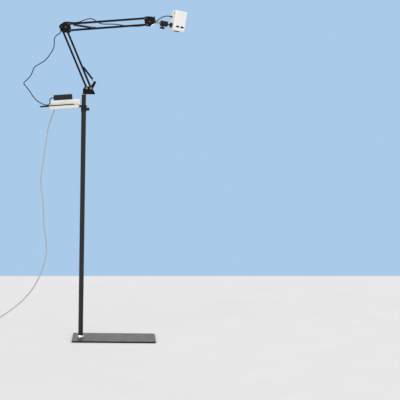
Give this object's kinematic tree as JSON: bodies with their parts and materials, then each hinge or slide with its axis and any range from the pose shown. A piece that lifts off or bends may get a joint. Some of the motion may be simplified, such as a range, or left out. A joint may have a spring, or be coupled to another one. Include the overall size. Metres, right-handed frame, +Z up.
{
  "type": "art projector",
  "caption": "Small downward projector on a sprung parallelogram arm, carried by a telescopic floor pole on a flat base plate, with a tray for its power strip and adapter.",
  "frame": {"origin": "on the pole's axis, on the floor that the base plate's feet stand on", "axes": "+Z up the pole, +X along the base plate towards the projector, +Y to the back"},
  "size_m": [1.051, 0.4411, 1.5195],
  "materials": {
    "base_steel": "satin powder coat, dark grey black",
    "pole_black": "satin black coat",
    "collar_black": "satin black cast metal",
    "arm_black": "semi-gloss black coat",
    "spring_black": "black spring wire",
    "ball_black": "black anodised",
    "zinc": "bright zinc plate",
    "dark_steel": "dark oiled steel",
    "chrome": "polished chrome",
    "engine_alu": "bare aluminium",
    "rubber": "matt rubber",
    "black_plastic": "moulded black plastic",
    "adapter_black": "fine-grained black plastic",
    "mat_black": "matt black sheet",
    "tray_cream": "warm light grey plastic",
    "white_plastic": "white plastic",
    "switch_cream": "cream plastic",
    "lead_white": "grey-white flexible sheath",
    "lead_black": "black flexible sheath",
    "head_white": "white satin plastic",
    "port_black": "black plastic",
    "button_grey": "grey plastic",
    "board_green": "coated circuit board",
    "lens_glass": "coated glass"
  },
  "bodies": {
    "stand": {"base_plate": "base_steel", "base_feet": "rubber", "foot_bolt": "zinc", "foot_plug": "zinc", "foot_collar": "chrome", "pole_lower": "pole_black", "height_collar": "collar_black", "mains_cord": "lead_white", "mains_coil": "lead_white", "mains_plug": "lead_white"},
    "height_knob": {"height_knob": "black_plastic"},
    "mast": {"pole_upper": "pole_black", "pole_top_plug": "black_plastic", "tray_clamp": "collar_black", "tray": "tray_cream", "tray_mat": "mat_black", "strip_base": "white_plastic", "strip_cover": "white_plastic", "mains_gland": "lead_white", "adapter_base": "adapter_black", "adapter_cover": "adapter_black", "adapter_boot": "lead_black", "dc_lead_low": "lead_black"},
    "strip_switch": {"strip_switch": "switch_cream"},
    "bracket": {"swivel_pin": "zinc", "base_bracket": "arm_black", "base_pivot_bolts": "zinc", "lower_springs": "spring_black"},
    "lower_left": {"lower_rod_left": "arm_black", "dc_lead_mid": "lead_black"},
    "lower_right": {"lower_rod_right": "arm_black", "lower_spring_pin": "arm_black"},
    "elbow": {"elbow_plates": "arm_black", "elbow_bolts": "dark_steel", "upper_springs": "spring_black"},
    "elbow_knob": {"elbow_knob": "black_plastic"},
    "upper_top": {"upper_rod_top": "arm_black"},
    "upper_bottom": {"upper_rod_bottom": "arm_black", "upper_spring_pin": "arm_black", "dc_lead_arm": "lead_black"},
    "end": {"end_plates": "arm_black", "end_bolts": "dark_steel"},
    "wing_knob": {"wing_knob": "black_plastic"},
    "tip": {"tip_link": "zinc", "ball_housing": "ball_black", "dc_lead_head": "lead_black"},
    "ball_knob": {"ball_knob": "black_plastic"},
    "ball_stud": {"ball_stud": "ball_black"},
    "head": {"head_front_cover": "head_white", "head_rear_case": "head_white", "head_ports": "port_black", "dc_jack": "port_black", "dc_plug": "lead_black", "light_engine": "engine_alu", "fan_frame": "black_plastic", "circuit_board": "board_green"},
    "lens": {"lens_barrel": "black_plastic", "lens_glass": "lens_glass"},
    "fan_rotor": {"fan_rotor": "black_plastic"},
    "power_button": {"power_button": "button_grey"}
  },
  "joints": [
    {"name": "pole_height", "type": "slide", "parent": "stand", "child": "mast", "axis": [0, 0, 1], "range_m": [0, 0.3], "deforming": ["mains_cord"]},
    {"name": "height_knob_turn", "type": "hinge", "parent": "stand", "child": "height_knob", "pos_m": [0, 0, 1.0585], "axis": [1, 0, 0], "range_deg": [-180, 180]},
    {"name": "strip_switch_rock", "type": "hinge", "parent": "mast", "child": "strip_switch", "pos_m": [-0.03698, 0, 1.09849], "axis": [0, 1, 0], "range_deg": [-12, 0]},
    {"name": "arm_swivel", "type": "hinge", "parent": "mast", "child": "bracket", "pos_m": [0, 0, 1.1], "axis": [0, 0, 1], "range_deg": [-160, 160], "deforming": ["dc_lead_low"]},
    {"name": "lower_tilt", "type": "hinge", "parent": "bracket", "child": "lower_left", "pos_m": [0.012, 0, 1.154], "axis": [0, 1, 0], "range_deg": [-7, 50], "deforming": ["lower_springs", "dc_lead_mid"]},
    {"name": "lower_follow", "type": "hinge", "parent": "bracket", "child": "lower_right", "pos_m": [0.032, 0, 1.154], "axis": [0, 1, 0], "range_deg": [-7, 50]},
    {"name": "elbow_level", "type": "hinge", "parent": "lower_left", "child": "elbow", "pos_m": [-0.10714, 0, 1.42933], "axis": [0, 1, 0], "range_deg": [-50, 7]},
    {"name": "elbow_knob_turn", "type": "hinge", "parent": "elbow", "child": "elbow_knob", "pos_m": [-0.10714, 0, 1.42933], "axis": [0, 1, 0], "range_deg": [-180, 180]},
    {"name": "upper_tilt", "type": "hinge", "parent": "elbow", "child": "upper_top", "pos_m": [-0.07314, 0, 1.44383], "axis": [0, 1, 0], "range_deg": [-25, 45], "deforming": ["upper_springs", "dc_lead_arm"]},
    {"name": "upper_follow", "type": "hinge", "parent": "elbow", "child": "upper_bottom", "pos_m": [-0.06514, 0, 1.41523], "axis": [0, 1, 0], "range_deg": [-25, 45]},
    {"name": "end_level", "type": "hinge", "parent": "upper_top", "child": "end", "pos_m": [0.27519, 0, 1.47798], "axis": [0, 1, 0], "range_deg": [-45, 25]},
    {"name": "wing_turn", "type": "hinge", "parent": "end", "child": "wing_knob", "pos_m": [0.31518, 0, 1.46248], "axis": [0, 1, 0], "range_deg": [-90, 90]},
    {"name": "tip_tilt", "type": "hinge", "parent": "end", "child": "tip", "pos_m": [0.31518, 0, 1.46248], "axis": [0, 1, 0], "range_deg": [-45, 45], "deforming": ["dc_lead_head"]},
    {"name": "ball_knob_turn", "type": "hinge", "parent": "tip", "child": "ball_knob", "pos_m": [0.35574, 0, 1.45642], "axis": [-0.1478, 0, -0.989], "range_deg": [-180, 180]},
    {"name": "ball_yaw", "type": "hinge", "parent": "tip", "child": "ball_stud", "pos_m": [0.37255, 0, 1.45391], "axis": [0.1478, 0, 0.989], "range_deg": [-50, 10], "deforming": ["dc_lead_head"]},
    {"name": "head_roll", "type": "hinge", "parent": "ball_stud", "child": "head", "pos_m": [0.37255, 0, 1.45391], "axis": [0.9294, 0.342, -0.1389], "range_deg": [-45, 45], "deforming": ["dc_lead_head"]},
    {"name": "lens_focus", "type": "hinge", "parent": "head", "child": "lens", "pos_m": [0.41947, 0.02062, 1.42414], "axis": [0.1478, 0, 0.989], "range_deg": [-60, 60]},
    {"name": "fan_spin", "type": "hinge", "parent": "head", "child": "fan_rotor", "pos_m": [0.4291, 0.02592, 1.46922], "axis": [0.1478, 0, 0.989], "continuous": true},
    {"name": "power_button_press", "type": "slide", "parent": "head", "child": "power_button", "axis": [0.9294, 0.342, -0.1389], "range_m": [0, 0.0006], "stiffness_N_per_m": 800}
  ],
  "couplings": [
    {"joint": "lower_follow", "follows": "lower_tilt", "ratio": 1},
    {"joint": "elbow_level", "follows": "lower_tilt", "ratio": -1},
    {"joint": "upper_follow", "follows": "upper_tilt", "ratio": 1},
    {"joint": "end_level", "follows": "upper_tilt", "ratio": -1}
  ]
}
